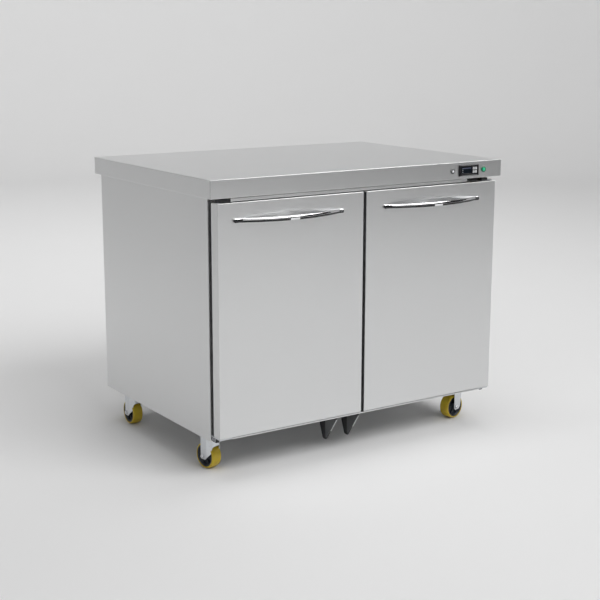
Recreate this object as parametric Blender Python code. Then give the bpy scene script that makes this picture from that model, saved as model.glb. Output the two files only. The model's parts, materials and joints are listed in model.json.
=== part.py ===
"""Two-door undercounter refrigerator on castors. Metres, +Z up, front towards -Y, floor at Z = 0.

The origin is at the middle of the whole object's box, on the floor. Doors are closed.
"""

from math import atan2, cos, pi, radians, sin

import bmesh
import bpy
from mathutils import Matrix, Vector

# Overall size
WIDTH = 0.985
DEPTH = 0.700
HEIGHT = 0.812
HANDLE_REACH = 0.042
GAP = 0.0003  # running or assembly gap between touching pieces
SHEET = 0.0015  # stainless sheet
THROUGH = 0.010  # how far a cutter runs past the face that it cuts

FRONT = -(DEPTH - HANDLE_REACH) / 2  # worktop's and doors' front plane
BACK = FRONT + DEPTH

# Worktop
TOP_THICK = 0.049
TOP_RETURN = 0.012
TOP_UNDER = HEIGHT - TOP_THICK

# Cabinet
SIDE_OVERHANG = 0.0205
BODY_HALF = WIDTH / 2 - SIDE_OVERHANG
BODY_INNER = BODY_HALF - SHEET - GAP
BODY_BOTTOM = 0.100
BODY_FRONT = FRONT + 0.0515
BODY_TOP = TOP_UNDER - GAP
LIP_LOW = 0.115
LIP_HIGH = 0.1185
LIP_CUT = 0.036  # corner of the lip cut away for the bottom hinge
BASE_SHEET = 0.002
FRAME_THICK = 0.003
OPENING_OUT = 0.428
OPENING_IN = 0.030
OPENING_LOW = 0.169
OPENING_HIGH = 0.709
SPLIT_X = -0.004  # middle of the gap between the doors
RAIL_X = (-0.4265, 0.3715)  # rail above the doors, between the top hinges
RAIL_FRONT = FRONT + 0.010
RAIL_Z = (0.7525, 0.7605)

# Insulated cavity
LINER_HALF = 0.432
LINER_LOW = 0.167
LINER_HIGH = 0.711
LINER_SHEET = 0.0012
LINER_BACK = FRONT + 0.500
FOAM_BACK = FRONT + 0.545
SHELF_Z = 0.427
SHELF_THICK = 0.006
LEDGE_DEEP = 0.008

# Doors
DOOR_TOP = 0.7503
DOOR_LOW = LIP_HIGH + 0.0013
DOOR_THICK = 0.033
DOOR_GAP = 0.010
DOOR_SHEET = 0.0012
HINGE_IN = 0.009
HINGE_BACK = 0.0165
HINGE_CLEAR = 0.0018  # between the door and the bracket above it
PIN_R = 0.0035
PIN_HOLE_R = 0.0043
PIN_DEEP = 0.016  # how far a pin reaches into the door
HINGE_EYE = 0.0055  # radius of the top hinge round its pin
GASKET_IN = 0.0097
GASKET_WIDE = 0.014
HANDLE_LONG = 0.347
HANDLE_TALL = 0.0125
HANDLE_Z = 0.7037
HANDLE_X = (-0.2515, 0.2335)  # middle of the left and right handle

# Controls in the worktop's front edge
CONTROL_Z = 0.787
CONTROL_X = 0.3665
CONTROL_W = 0.074
CONTROL_H = 0.032
MODE_X = 0.3065
POWER_X = 0.4235
BUTTON_OUT = 0.005
BUTTON_HOLE = 0.0068
POCKET_SIDE = 0.012  # room for the wiring round the controls, inside the worktop's core
POCKET_DEEP = 0.070
POCKET_FLOOR = 0.005

# Castors
WHEEL_R = 0.037
WHEEL_W = 0.032
TYRE_THICK = 0.0055
TRAIL = 0.010
CASTOR_X = 0.4345
CASTOR_Y = (FRONT + 0.117, FRONT + 0.593)
PLATE = 0.062
PLATE_THICK = 0.004
RACEWAY = 0.0045
FORK_HALF = 0.0215
FORK_SHEET = 0.0025
LEG_BACK = 0.009  # back edge of a fork leg, behind the axle
CASTOR_TURNS = (radians(10.0), radians(100.0))  # front left and front right, as they stand


def clear_scene():
    for obj in list(bpy.data.objects):
        bpy.data.objects.remove(obj, do_unlink=True)


def material(name, colour, roughness, metallic=0.0):
    found = bpy.data.materials.get(name)
    if found:
        return found
    made = bpy.data.materials.new(name)
    made.use_nodes = True
    shader = made.node_tree.nodes["Principled BSDF"]
    shader.inputs["Base Color"].default_value = (*colour, 1.0)
    shader.inputs["Roughness"].default_value = roughness
    shader.inputs["Metallic"].default_value = metallic
    return made


def finish(name, bm, finish_of, origin=(0, 0, 0), smooth=False):
    """Turns a bmesh into a named object whose origin is at the given point."""
    bmesh.ops.recalc_face_normals(bm, faces=bm.faces)
    bmesh.ops.translate(bm, verts=bm.verts, vec=-Vector(origin))
    mesh = bpy.data.meshes.new(name)
    bm.to_mesh(mesh)
    bm.free()
    if smooth:
        mesh.shade_smooth()
        mesh.set_sharp_from_angle(angle=radians(35))
    obj = bpy.data.objects.new(name, mesh)
    obj.location = origin
    obj.data.materials.append(material(*finish_of))
    bpy.context.scene.collection.objects.link(obj)
    return obj


def add_box(bm, low, high):
    made = bmesh.ops.create_cube(bm, size=1.0)["verts"]
    for vert in made:
        for i in range(3):
            vert.co[i] = low[i] if vert.co[i] < 0 else high[i]
    return made


def box(name, low, high, finish_of, origin=(0, 0, 0)):
    bm = bmesh.new()
    add_box(bm, low, high)
    return finish(name, bm, finish_of, origin)


def add_prism(bm, outline, axis, start, end):
    """Extrudes a closed outline of two-coordinate points along the axis 0, 1 or 2."""
    others = [i for i in range(3) if i != axis]

    def at(point, along):
        place = [0.0, 0.0, 0.0]
        place[axis] = along
        place[others[0]], place[others[1]] = point
        return place

    near = [bm.verts.new(at(point, start)) for point in outline]
    far = [bm.verts.new(at(point, end)) for point in outline]
    bm.faces.new(near)
    bm.faces.new(far)
    for i in range(len(outline)):
        j = (i + 1) % len(outline)
        bm.faces.new((near[i], near[j], far[j], far[i]))


def prism(name, outline, axis, start, end, finish_of, origin=(0, 0, 0)):
    bm = bmesh.new()
    add_prism(bm, outline, axis, start, end)
    return finish(name, bm, finish_of, origin)


def add_rings(bm, rings, closed=False):
    """Bridges equal rings of points, and caps the two ends unless the last ring meets the first."""
    made = [[bm.verts.new(point) for point in ring] for ring in rings]
    count = len(made[0])
    pairs = list(zip(made, made[1:]))
    if closed:
        pairs.append((made[-1], made[0]))
    else:
        bm.faces.new(made[0])
        bm.faces.new(made[-1])
    for one, two in pairs:
        for i in range(count):
            j = (i + 1) % count
            bm.faces.new((one[i], one[j], two[j], two[i]))


def rect_ring(axis, low, high, inset, along):
    """The four corners of a rectangle across the axis, drawn in by inset, at one place along it."""
    others = [i for i in range(3) if i != axis]
    (a0, b0), (a1, b1) = low, high
    corners = [
        (a0 + inset, b0 + inset),
        (a1 - inset, b0 + inset),
        (a1 - inset, b1 - inset),
        (a0 + inset, b1 - inset),
    ]
    ring = []
    for a, b in corners:
        place = [0.0, 0.0, 0.0]
        place[axis] = along
        place[others[0]], place[others[1]] = a, b
        ring.append(place)
    return ring


def pan(name, axis, low, high, profile, finish_of, closed=False, origin=(0, 0, 0)):
    """A folded pan or frame: rectangles of (inset, place along the axis), joined in turn."""
    bm = bmesh.new()
    add_rings(bm, [rect_ring(axis, low, high, inset, along) for inset, along in profile], closed)
    return finish(name, bm, finish_of, origin)


def add_lathe(bm, profile, centre, axis, sides):
    """Turns a closed profile of (radius, place along the axis) points round an axis."""
    rings = []
    for radius, along in profile:
        ring = []
        for i in range(sides):
            turn = 2 * pi * i / sides
            place = list(centre)
            others = [k for k in range(3) if k != axis]
            place[axis] += along
            place[others[0]] += radius * cos(turn)
            place[others[1]] += radius * sin(turn)
            ring.append(place)
        rings.append(ring)
    add_rings(bm, rings)


def lathe(name, profile, centre, axis, finish_of, sides=24):
    bm = bmesh.new()
    add_lathe(bm, profile, centre, axis, sides)
    return finish(name, bm, finish_of, centre, smooth=True)


def cutter(name, bm):
    obj = finish(name, bm, ("cutter", (1, 0, 0), 0.5))
    obj.hide_render = True
    obj.display_type = "WIRE"
    return obj


def boolean(obj, other, operation="DIFFERENCE"):
    modifier = obj.modifiers.new(operation.lower(), "BOOLEAN")
    modifier.operation = operation
    modifier.object = other
    modifier.solver = "EXACT"


STEEL = ("satin_stainless", (0.62, 0.63, 0.64), 0.35, 1.0)
ZINC = ("zinc_plate", (0.66, 0.68, 0.70), 0.30, 1.0)
CHROME = ("chrome", (0.82, 0.83, 0.84), 0.06, 1.0)
FOAM = ("foam", (0.80, 0.72, 0.50), 0.9)
LINER = ("liner_sheet", (0.72, 0.73, 0.74), 0.4, 1.0)
RUBBER = ("gasket_rubber", (0.03, 0.03, 0.032), 0.6)
BLACK = ("black_bracket", (0.02, 0.02, 0.022), 0.45)
PLASTIC = ("black_plastic", (0.015, 0.015, 0.018), 0.25)
DISPLAY = ("display_lens", (0.01, 0.012, 0.03), 0.08)
KEY = ("key_rubber", (0.55, 0.56, 0.57), 0.5)
GREEN = ("green_lens", (0.02, 0.55, 0.28), 0.15)
WHITE = ("button_cap", (0.75, 0.76, 0.77), 0.25)
TYRE = ("polyurethane", (0.48, 0.30, 0.025), 0.4)
HUB = ("hub", (0.03, 0.035, 0.045), 0.4)
WIRE = ("coated_wire", (0.80, 0.81, 0.82), 0.4)
ENAMEL = ("compressor_enamel", (0.012, 0.012, 0.013), 0.35)
FIN = ("fin_stock", (0.70, 0.71, 0.72), 0.4, 1.0)
INNER = ("inner_door", (0.80, 0.81, 0.82), 0.4)


def make_worktop():
    half = WIDTH / 2
    low, high = (-half, FRONT), (half, BACK)
    profile = [
        (0.0, HEIGHT),
        (0.0, TOP_UNDER),
        (TOP_RETURN, TOP_UNDER),
        (TOP_RETURN, TOP_UNDER + SHEET),
        (SHEET, TOP_UNDER + SHEET),
        (SHEET, HEIGHT - SHEET),
    ]
    skin = pan("worktop_skin", 2, low, high, profile, STEEL)
    bm = bmesh.new()
    wide, tall = CONTROL_W / 2 - 0.0015, CONTROL_H / 2 - 0.0015
    add_box(
        bm,
        (CONTROL_X - wide, FRONT - THROUGH, CONTROL_Z - tall),
        (CONTROL_X + wide, FRONT + THROUGH, CONTROL_Z + tall),
    )
    boolean(skin, cutter("control_cut", bm))
    for name, place in (("mode_cut", MODE_X), ("power_cut", POWER_X)):
        bm = bmesh.new()
        add_lathe(bm, [(BUTTON_HOLE, -THROUGH), (BUTTON_HOLE, THROUGH)], (place, FRONT, CONTROL_Z), 1, 20)
        boolean(skin, cutter(name, bm))
    inset = SHEET + GAP
    core = box(
        "worktop_core",
        (-half + inset, FRONT + inset, TOP_UNDER + inset),
        (half - inset, BACK - inset, HEIGHT - inset),
        FOAM,
    )
    bm = bmesh.new()
    add_box(
        bm,
        (MODE_X - POCKET_SIDE, FRONT - THROUGH, TOP_UNDER + POCKET_FLOOR),
        (POWER_X + POCKET_SIDE, FRONT + POCKET_DEEP, HEIGHT + THROUGH),
    )
    boolean(core, cutter("control_pocket", bm))


def make_controls():
    wide, tall = CONTROL_W / 2, CONTROL_H / 2
    low, high = (CONTROL_X - wide, CONTROL_Z - tall), (CONTROL_X + wide, CONTROL_Z + tall)
    face = FRONT - 0.0045
    profile = [
        (0.0020, face),
        (0.0, face + 0.0018),
        (0.0, FRONT - GAP),
        (0.0021, FRONT - GAP),
        (0.0021, FRONT + 0.058),
    ]
    housing = pan("controller_housing", 1, low, high, profile, PLASTIC)
    lens_low = (CONTROL_X - 0.030, CONTROL_Z - 0.0085)
    lens_high = (CONTROL_X + 0.0095, CONTROL_Z + 0.0100)
    deep = 0.0016
    bm = bmesh.new()
    add_box(bm, (lens_low[0], face - THROUGH, lens_low[1]), (lens_high[0], face + deep, lens_high[1]))
    boolean(housing, cutter("lens_cut", bm))
    box(
        "controller_display",
        (lens_low[0] + GAP, face + 0.0003, lens_low[1] + GAP),
        (lens_high[0] - GAP, face + deep - GAP, lens_high[1] - GAP),
        DISPLAY,
    )
    keys = (("set_key", 0.0165, 0.0052), ("up_key", 0.0250, 0.0052))
    keys += (("down_key", 0.0165, -0.0045), ("standby_key", 0.0250, -0.0045))
    for name, right, up in keys:
        x, z = CONTROL_X + right, CONTROL_Z + up
        bm = bmesh.new()
        add_box(bm, (x - 0.0037, face - THROUGH, z - 0.0040), (x + 0.0037, face + 0.0034, z + 0.0040))
        boolean(housing, cutter(name + "_cut", bm))
        half = (0.0034, 0.0037)
        rings = [
            rect_ring(1, (x - half[0], z - half[1]), (x + half[0], z + half[1]), inset, along)
            for inset, along in ((0.0008, face - 0.0010), (0.0, face - 0.0003), (0.0, face + 0.0020))
        ]
        bm = bmesh.new()
        add_rings(bm, rings)
        finish(name, bm, KEY, (x, face, z))
    for name, x, radius, look in (
        ("mode_button", MODE_X, 0.0055, WHITE),
        ("power_button", POWER_X, 0.0063, GREEN),
    ):
        profile = [
            (radius * 0.45, -BUTTON_OUT),
            (radius * 0.80, -BUTTON_OUT + 0.0008),
            (radius, -BUTTON_OUT + 0.0022),
            (radius, 0.012),
        ]
        lathe(name, profile, (x, FRONT, CONTROL_Z), 1, look, sides=20)


def make_cabinet():
    fold = 0.018
    for name, side in (("left_side_panel", -1), ("right_side_panel", 1)):
        outer, inner = side * BODY_HALF, side * (BODY_HALF - SHEET)
        folded = side * (BODY_HALF - fold)
        outline = [
            (outer, BODY_FRONT),
            (inner, BODY_FRONT),
            (inner, BACK - SHEET),
            (folded, BACK - SHEET),
            (folded, BACK),
            (outer, BACK),
        ]
        prism(name, outline, 2, BODY_BOTTOM, BODY_TOP, STEEL)

    lip_front = FRONT + 0.001
    web = BODY_FRONT + BASE_SHEET
    base_back = BACK - SHEET - GAP
    outline = [
        (lip_front, LIP_LOW),
        (BODY_FRONT, LIP_LOW),
        (BODY_FRONT, BODY_BOTTOM),
        (base_back, BODY_BOTTOM),
        (base_back, BODY_BOTTOM + BASE_SHEET),
        (web, BODY_BOTTOM + BASE_SHEET),
        (web, LIP_HIGH),
        (lip_front, LIP_HIGH),
    ]
    base = prism("base_pan", outline, 0, -BODY_INNER, BODY_INNER, STEEL)
    for name, side in (("left_lip_cut", -1), ("right_lip_cut", 1)):
        ends = sorted((side * (BODY_INNER - LIP_CUT), side * (BODY_INNER + THROUGH)))
        bm = bmesh.new()
        add_box(
            bm,
            (ends[0], FRONT - THROUGH, LIP_LOW - THROUGH),
            (ends[1], BODY_FRONT - GAP, LIP_HIGH + THROUGH),
        )
        boolean(base, cutter(name, bm))

    frame = box(
        "face_frame",
        (-BODY_INNER, BODY_FRONT, LIP_HIGH + GAP),
        (BODY_INNER, BODY_FRONT + FRAME_THICK, BODY_TOP),
        STEEL,
    )
    for name, side in (("left_opening", -1), ("right_opening", 1)):
        ends = sorted((SPLIT_X + side * OPENING_IN, side * OPENING_OUT))
        bm = bmesh.new()
        add_box(
            bm,
            (ends[0], BODY_FRONT - THROUGH, OPENING_LOW),
            (ends[1], BODY_FRONT + THROUGH, OPENING_HIGH),
        )
        boolean(frame, cutter(name, bm))
    bm = bmesh.new()
    add_box(bm, (RAIL_X[0], RAIL_FRONT, RAIL_Z[0]), (RAIL_X[1], BODY_FRONT + 0.001, RAIL_Z[1]))
    boolean(frame, cutter("top_rail", bm), "UNION")

    behind = BODY_FRONT + FRAME_THICK + GAP
    cavity = LINER_HALF + GAP
    foam = box(
        "insulation",
        (-BODY_INNER + GAP, behind, BODY_BOTTOM + BASE_SHEET + GAP),
        (BODY_INNER - GAP, FOAM_BACK, BODY_TOP),
        FOAM,
    )
    bm = bmesh.new()
    add_box(bm, (-cavity, behind - THROUGH, LINER_LOW - GAP), (cavity, LINER_BACK + GAP, LINER_HIGH + GAP))
    boolean(foam, cutter("cavity", bm))

    low, high = (-LINER_HALF, LINER_LOW), (LINER_HALF, LINER_HIGH)
    profile = [
        (0.0, LINER_BACK),
        (0.0, behind),
        (LINER_SHEET, behind),
        (LINER_SHEET, LINER_BACK - LINER_SHEET),
    ]
    liner = pan("inner_liner", 1, low, high, profile, LINER)
    wall = LINER_HALF - LINER_SHEET / 2
    ledge_top = SHELF_Z - GAP
    ledge_low = ledge_top - 0.006
    ledge_front = BODY_FRONT + 0.045
    rear_wall = LINER_BACK - LINER_SHEET
    inner = wall - LEDGE_DEEP
    outline = [
        (-wall, ledge_front),
        (-inner, ledge_front),
        (-inner, rear_wall - LEDGE_DEEP),
        (inner, rear_wall - LEDGE_DEEP),
        (inner, ledge_front),
        (wall, ledge_front),
        (wall, rear_wall + LINER_SHEET / 2),
        (-wall, rear_wall + LINER_SHEET / 2),
    ]
    bm = bmesh.new()
    add_prism(bm, outline, 2, ledge_low, ledge_top)
    boolean(liner, cutter("shelf_ledge", bm), "UNION")

    post, arm = 0.028, 0.036
    low_z, high_z = LINER_LOW + LINER_SHEET + GAP, LINER_HIGH - LINER_SHEET - GAP
    outline = [
        (-post, low_z),
        (post, low_z),
        (post, ledge_low),
        (arm, ledge_low),
        (arm, ledge_top),
        (post, ledge_top),
        (post, high_z),
        (-post, high_z),
        (-post, ledge_top),
        (-arm, ledge_top),
        (-arm, ledge_low),
        (-post, ledge_low),
    ]
    outline = [(SPLIT_X + x, z) for x, z in outline]
    prism("centre_mullion", outline, 1, behind, BODY_FRONT + 0.070, STEEL)


def make_shelves():
    front = BODY_FRONT + 0.050
    rear = LINER_BACK - LINER_SHEET - 0.003
    bars = 11
    for name, side in (("left_shelf", -1), ("right_shelf", 1)):
        ends = sorted((SPLIT_X + side * 0.0295, side * (LINER_HALF - LINER_SHEET - 0.003)))
        shelf = box(
            name, (ends[0], front, SHELF_Z), (ends[1], rear, SHELF_Z + SHELF_THICK), WIRE
        )
        rim, bar = 0.006, 0.005
        pitch = (ends[1] - ends[0] - 2 * rim + bar) / bars
        bm = bmesh.new()
        for i in range(bars):
            x = ends[0] + rim + i * pitch
            add_box(
                bm,
                (x, front + rim, SHELF_Z - THROUGH),
                (x + pitch - bar, rear - rim, SHELF_Z + SHELF_THICK + THROUGH),
            )
        boolean(shelf, cutter(name + "_slots", bm))


def make_rear_panel():
    outer = BACK - 0.004
    inner = outer - SHEET
    panel = box(
        "rear_panel",
        (-BODY_INNER, inner, BODY_BOTTOM + BASE_SHEET + GAP),
        (BODY_INNER, outer, BODY_TOP),
        STEEL,
    )
    bm = bmesh.new()
    for side in (-0.30, 0.0, 0.30):
        for row in range(12):
            z = 0.17 + row * 0.024
            add_box(bm, (side - 0.11, inner - THROUGH, z), (side + 0.11, outer + THROUGH, z + 0.008))
    boolean(panel, cutter("louvre_slots", bm))

    x, z = -0.40, 0.62
    wide, tall = 0.0140, 0.0120
    bm = bmesh.new()
    add_box(bm, (x - wide, inner - THROUGH, z - tall), (x + wide, outer + THROUGH, z + tall))
    boolean(panel, cutter("inlet_cut", bm))
    flange, pocket = 0.006, 0.0165
    low = (x - wide - flange, z - tall - flange)
    high = (x + wide + flange, z + tall + flange)
    profile = [
        (flange + GAP, outer - 0.024),
        (flange + GAP, outer + GAP),
        (0.0, outer + GAP),
        (0.0, BACK - 0.0005),
        (flange + 0.0025, BACK - 0.0005),
        (flange + 0.0025, BACK - pocket),
    ]
    pan("power_inlet", 1, low, high, profile, PLASTIC)


def make_anti_tip_bracket():
    middle, spread, steel, y = -0.022, 0.040, 0.003, FRONT + 0.103
    top = BODY_BOTTOM - GAP
    front, rear = y - 0.0585, y + 0.030
    cheek = [
        (rear, top),
        (y + 0.0275, 0.059),
        (y + 0.0130, 0.022),
        (y + 0.0080, 0.019),
        (y - 0.0030, 0.019),
        (y - 0.0070, 0.023),
        (y - 0.0555, 0.092),
        (front, top),
    ]
    inside = spread - 0.001
    bm = bmesh.new()
    add_box(bm, (middle - inside, front, top - steel), (middle + inside, rear, top))
    bracket = finish("anti_tip_bracket", bm, BLACK)
    for name, side in (("left_cheek", -1), ("right_cheek", 1)):
        ends = sorted((middle + side * (spread - steel), middle + side * spread))
        bm = bmesh.new()
        add_prism(bm, cheek, 0, ends[0], ends[1])
        boolean(bracket, cutter(name, bm), "UNION")


def make_door(side):
    name = "left" if side < 0 else "right"
    outer, inner = side * BODY_HALF, SPLIT_X + side * DOOR_GAP / 2
    ends = sorted((outer, inner))
    axis = (outer - side * HINGE_IN, FRONT + HINGE_BACK)
    hinge = (axis[0], axis[1], 0.0)
    low, high = (ends[0], DOOR_LOW), (ends[1], DOOR_TOP)
    back = FRONT + DOOR_THICK
    profile = [
        (0.0, FRONT),
        (0.0, back),
        (DOOR_SHEET, back),
        (DOOR_SHEET, FRONT + DOOR_SHEET),
    ]
    skin = pan(name + "_door_skin", 1, low, high, profile, STEEL, origin=hinge)
    filled = DOOR_SHEET + GAP
    profile = [
        (filled, FRONT + filled),
        (filled, back - 0.001),
        (0.034, back - 0.001),
        (0.040, back + 0.010),
        (0.060, back + 0.010),
        (0.066, back + 0.004),
    ]
    block = pan(name + "_door_inner", 1, low, high, profile, INNER, origin=hinge)

    for label, start, end in (
        ("top", DOOR_TOP - PIN_DEEP - 0.004, DOOR_TOP + THROUGH),
        ("bottom", DOOR_LOW - THROUGH, DOOR_LOW + PIN_DEEP + 0.004),
    ):
        bm = bmesh.new()
        add_lathe(bm, [(PIN_HOLE_R, start), (PIN_HOLE_R, end)], hinge, 2, 16)
        hole = cutter(f"{name}_{label}_hole", bm)
        boolean(skin, hole)
        boolean(block, hole)

    seal, wide = GASKET_IN, GASKET_IN + GASKET_WIDE
    start, end = back + GAP, BODY_FRONT - 0.0005
    profile = [
        (seal, start),
        (seal, end - 0.002),
        (seal + 0.002, end),
        (wide - 0.002, end),
        (wide, end - 0.002),
        (wide, start),
    ]
    pan(name + "_door_gasket", 1, low, high, profile, RUBBER, closed=True, origin=hinge)
    make_handle(name + "_door_handle", HANDLE_X[0 if side < 0 else 1], hinge)

    make_hinges(name, side, hinge)


def make_hinges(name, side, hinge):
    """The fixed hinge brackets above and below a door, each with its pin."""
    x, y = hinge[0], hinge[1]
    behind = BODY_FRONT - GAP
    wing, arm = RAIL_X[0 if side < 0 else 1] + side * 0.001, side * 0.428
    eye = x + side * HINGE_EYE
    outline = [(wing, behind), (wing, FRONT + 0.034), (arm, FRONT + 0.030), (arm, y - HINGE_EYE)]
    bends = 5
    for k in range(bends + 1):
        turn = -pi / 2 + pi / 2 * k / bends
        outline.append((x + side * HINGE_EYE * cos(turn), y + HINGE_EYE * sin(turn)))
    outline.append((eye, behind))
    bracket = prism(
        name + "_top_hinge", outline, 2, DOOR_TOP + HINGE_CLEAR, TOP_UNDER - 0.003, BLACK
    )
    bm = bmesh.new()
    add_lathe(bm, [(PIN_R, DOOR_TOP - PIN_DEEP), (PIN_R, DOOR_TOP + 0.004)], hinge, 2, 16)
    boolean(bracket, cutter(name + "_top_pin", bm), "UNION")

    reach = sorted((side * BODY_INNER, side * (BODY_INNER - LIP_CUT + GAP)))
    bracket = box(
        name + "_bottom_hinge",
        (reach[0], FRONT + 0.003, LIP_HIGH - 0.003),
        (reach[1], behind - GAP, LIP_HIGH),
        ZINC,
    )
    bm = bmesh.new()
    profile = [
        (0.0065, LIP_HIGH - 0.001),
        (0.0065, LIP_HIGH + 0.0008),
        (PIN_R, LIP_HIGH + 0.0008),
        (PIN_R, DOOR_LOW + PIN_DEEP),
    ]
    add_lathe(bm, profile, hinge, 2, 16)
    boolean(bracket, cutter(name + "_bottom_pin", bm), "UNION")


def make_handle(name, middle, hinge):
    """A bow of D section: flat pads at both ends on the door, the middle standing off it."""
    stations, pad = 26, 0.016
    section = 10
    bm = bmesh.new()
    rings = []
    for i in range(stations + 1):
        t = i / stations
        along = (t - 0.5) * HANDLE_LONG
        inside = abs(along)
        clear = HANDLE_LONG / 2 - pad
        rise = 1 - (inside / clear) ** 2 if inside < clear else 0.0
        end = min(1.0, (HANDLE_LONG / 2 - inside) / 0.010)
        thick = 0.0065 + 0.0035 * rise
        back = FRONT - GAP - (HANDLE_REACH - GAP - 0.010) * rise
        front = back - thick * (0.55 + 0.45 * end)
        tall = HANDLE_TALL / 2 * (0.70 + 0.30 * end) * (1 - 0.12 * (1 - rise))
        ring = [
            (middle + along, back, HANDLE_Z - tall),
            (middle + along, back, HANDLE_Z + tall),
        ]
        for k in range(1, section):
            turn = pi * k / section
            ring.append(
                (
                    middle + along,
                    back + (front - back) * (sin(turn) ** 0.6),
                    HANDLE_Z + tall * cos(turn),
                )
            )
        rings.append(ring)
    add_rings(bm, rings)
    finish(name, bm, CHROME, hinge, smooth=True)


def make_engine():
    floor = BODY_BOTTOM + BASE_SHEET + GAP
    centre = (-0.30, FRONT + 0.618, floor)
    profile = [
        (0.060, 0.0),
        (0.066, 0.006),
        (0.066, 0.070),
        (0.070, 0.074),
        (0.070, 0.082),
        (0.066, 0.086),
        (0.064, 0.130),
        (0.050, 0.158),
        (0.022, 0.170),
    ]
    lathe("compressor", profile, centre, 2, ENAMEL, sides=28)

    fan_x, fan_z = 0.20, 0.265
    coil_y = FRONT + 0.650
    box(
        "condenser_coil",
        (fan_x - 0.15, coil_y, floor),
        (fan_x + 0.15, coil_y + 0.036, fan_z + 0.14),
        FIN,
    )
    motor = (fan_x, FOAM_BACK + GAP, fan_z)
    profile = [(0.034, 0.0), (0.034, 0.030), (0.026, 0.036), (0.005, 0.036), (0.005, 0.052)]
    lathe("condenser_fan_motor", profile, motor, 1, BLACK, sides=20)
    make_fan("condenser_fan", (fan_x, FOAM_BACK + 0.060, fan_z), 0.115, 0.024, 0.0055)


def make_fan(name, centre, radius, deep, bore):
    """Hub with five pitched blades, turning about Y. Each blade grows out of one facet of the hub's wall."""
    hub = radius * 0.26
    half = deep / 2
    root = half * 0.14
    profile = [(bore, -half), (hub, -half), (hub, -root), (hub, root), (hub, half * 0.8), (bore, half)]
    blades, facets = 5, 20
    bm = bmesh.new()
    rings = []
    for r, y in profile:
        ring = []
        for k in range(facets):
            turn = 2 * pi * k / facets
            ring.append(bm.verts.new((centre[0] + r * cos(turn), centre[1] + y, centre[2] + r * sin(turn))))
        rings.append(ring)
    for i, one in enumerate(rings):
        two = rings[(i + 1) % len(rings)]
        for k in range(facets):
            j = (k + 1) % facets
            corners = (one[k], one[j], two[j], two[k])
            if i == 2 and k % (facets // blades) == 0:
                middle = 2 * pi * (k + 0.5) / facets
                add_blade(bm, corners, centre, middle, radius, half)
            else:
                bm.faces.new(corners)
    finish(name, bm, BLACK, centre, smooth=True)


def add_blade(bm, root, centre, middle, radius, half):
    """A pitched blade, from the four corners of a hub facet out to the fan's rim."""
    near = root
    for share in (0.5, 0.8, 1.0):
        r = radius * share
        wide = radians(26 + 8 * share)
        far = []
        for turn, y in ((-wide, -0.80), (wide, 0.45), (wide, 0.65), (-wide, -0.60)):
            angle = middle + turn
            place = (centre[0] + r * cos(angle), centre[1] + half * y, centre[2] + r * sin(angle))
            far.append(bm.verts.new(place))
        for i in range(4):
            j = (i + 1) % 4
            bm.faces.new((near[i], near[j], far[j], far[i]))
        near = far
    bm.faces.new(near)


def make_evaporator():
    back, front = LINER_BACK - LINER_SHEET - GAP, LINER_BACK - 0.075
    low, high = (-0.21, 0.520), (0.21, LINER_HIGH - LINER_SHEET - GAP)
    profile = [
        (0.012, front),
        (0.0, front + 0.012),
        (0.0, back),
        (SHEET, back),
        (SHEET, front + 0.013),
        (0.013, front + SHEET),
    ]
    cover = pan("evaporator_cover", 1, low, high, profile, INNER)
    x, z = 0.0, (low[1] + high[1]) / 2
    bm = bmesh.new()
    add_lathe(bm, [(0.078, front - THROUGH), (0.078, front + THROUGH)], (x, 0, z), 1, 28)
    boolean(cover, cutter("fan_opening", bm))
    make_fan("evaporator_fan", (x, front + 0.012, z), 0.074, 0.016, 0.004)


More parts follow.
